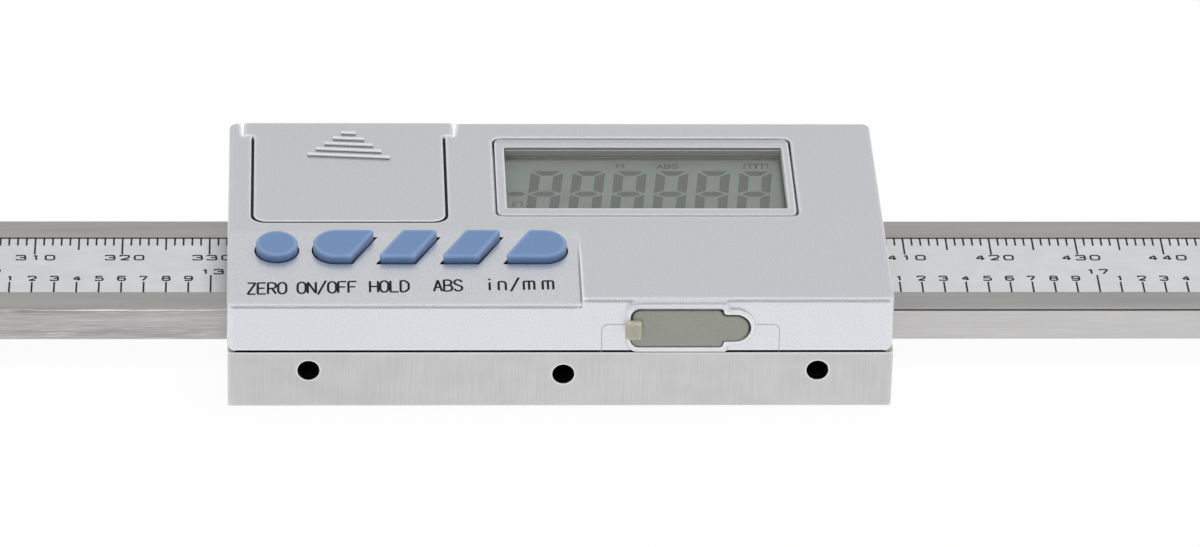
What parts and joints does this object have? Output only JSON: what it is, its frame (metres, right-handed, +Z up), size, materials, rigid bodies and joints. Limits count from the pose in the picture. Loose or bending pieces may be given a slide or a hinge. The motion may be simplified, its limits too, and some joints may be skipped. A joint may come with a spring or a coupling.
{
  "type": "digital linear scale",
  "caption": "Flat graduated steel beam on end brackets, with a sliding reading head that shows its position on a digital display and has push keys, a battery lid and a data port.",
  "frame": {"origin": "on the surface that the end brackets stand on, under the middle of the beam", "axes": "+X along the beam to the right of the reader, +Y away from the reader, +Z up"},
  "size_m": [0.744, 0.0422, 0.0155],
  "materials": {
    "stainless_steel": "brushed",
    "label_print": "satin grey film with dark printing",
    "circuit_laminate": "lacquered",
    "bracket_aluminium": "satin",
    "screw_steel": "zinc plated",
    "gib_bronze": "machined",
    "silver_plastic": "fine silver paint",
    "clear_window": "polished",
    "lcd_cell": "smooth grey-green",
    "reflector_foil": "matt foil",
    "black_plastic": "moulded",
    "crystal_can": "drawn can",
    "capacitor_ceramic": "fired",
    "white_plastic": "moulded",
    "zebra_rubber": "striped",
    "cell_steel": "stamped",
    "contact_metal": "plated",
    "blue_silicone": "satin",
    "carbon_rubber": "matt",
    "plug_rubber": "matt"
  },
  "bodies": {
    "beam": {"beam": "stainless_steel", "scale_grating": "circuit_laminate", "scale_label": "label_print", "end_bracket_left": "bracket_aluminium", "end_bracket_right": "bracket_aluminium", "bracket_screws": "screw_steel"},
    "carriage": {"carriage_base": "stainless_steel", "gib_strip": "gib_bronze", "gib_set_screws": "screw_steel", "housing": "silver_plastic", "housing_screws": "screw_steel", "main_board": "circuit_laminate", "board_screws": "screw_steel", "sensor_plate": "circuit_laminate", "controller_chip": "black_plastic", "crystal": "crystal_can", "chip_capacitors": "capacitor_ceramic", "display_bezel": "silver_plastic", "display_window": "clear_window", "lcd_glass": "lcd_cell", "zebra_connector": "zebra_rubber", "lcd_reflector": "reflector_foil", "display_carrier": "white_plastic", "battery_holder": "black_plastic", "battery_cell": "cell_steel", "battery_contact_positive": "contact_metal", "battery_contact_negative": "contact_metal", "keypad_mat": "blue_silicone", "data_socket": "black_plastic", "data_contacts": "contact_metal"},
    "battery_cover": {"battery_cover": "silver_plastic"},
    "port_plug": {"port_plug": "plug_rubber"},
    "key_zero": {"key_zero": "blue_silicone", "carbon_pill_zero": "carbon_rubber"},
    "key_power": {"key_power": "blue_silicone", "carbon_pill_power": "carbon_rubber"},
    "key_hold": {"key_hold": "blue_silicone", "carbon_pill_hold": "carbon_rubber"},
    "key_abs": {"key_abs": "blue_silicone", "carbon_pill_abs": "carbon_rubber"},
    "key_unit": {"key_unit": "blue_silicone", "carbon_pill_unit": "carbon_rubber"}
  },
  "joints": [
    {"name": "carriage_slide", "type": "slide", "parent": "beam", "child": "carriage", "axis": [1, 0, 0], "range_m": [-0.31, 0.31]},
    {"name": "cover_slide", "type": "slide", "parent": "carriage", "child": "battery_cover", "axis": [0, 1, 0], "range_m": [0, 0.024]},
    {"name": "plug_pull", "type": "slide", "parent": "carriage", "child": "port_plug", "axis": [0, -1, 0], "range_m": [0, 0.012]},
    {"name": "zero_press", "type": "slide", "parent": "carriage", "child": "key_zero", "axis": [0, 0, -1], "range_m": [0, 0.0008], "stiffness_N_per_m": 600},
    {"name": "power_press", "type": "slide", "parent": "carriage", "child": "key_power", "axis": [0, 0, -1], "range_m": [0, 0.0008], "stiffness_N_per_m": 600},
    {"name": "hold_press", "type": "slide", "parent": "carriage", "child": "key_hold", "axis": [0, 0, -1], "range_m": [0, 0.0008], "stiffness_N_per_m": 600},
    {"name": "abs_press", "type": "slide", "parent": "carriage", "child": "key_abs", "axis": [0, 0, -1], "range_m": [0, 0.0008], "stiffness_N_per_m": 600},
    {"name": "unit_press", "type": "slide", "parent": "carriage", "child": "key_unit", "axis": [0, 0, -1], "range_m": [0, 0.0008], "stiffness_N_per_m": 600}
  ]
}
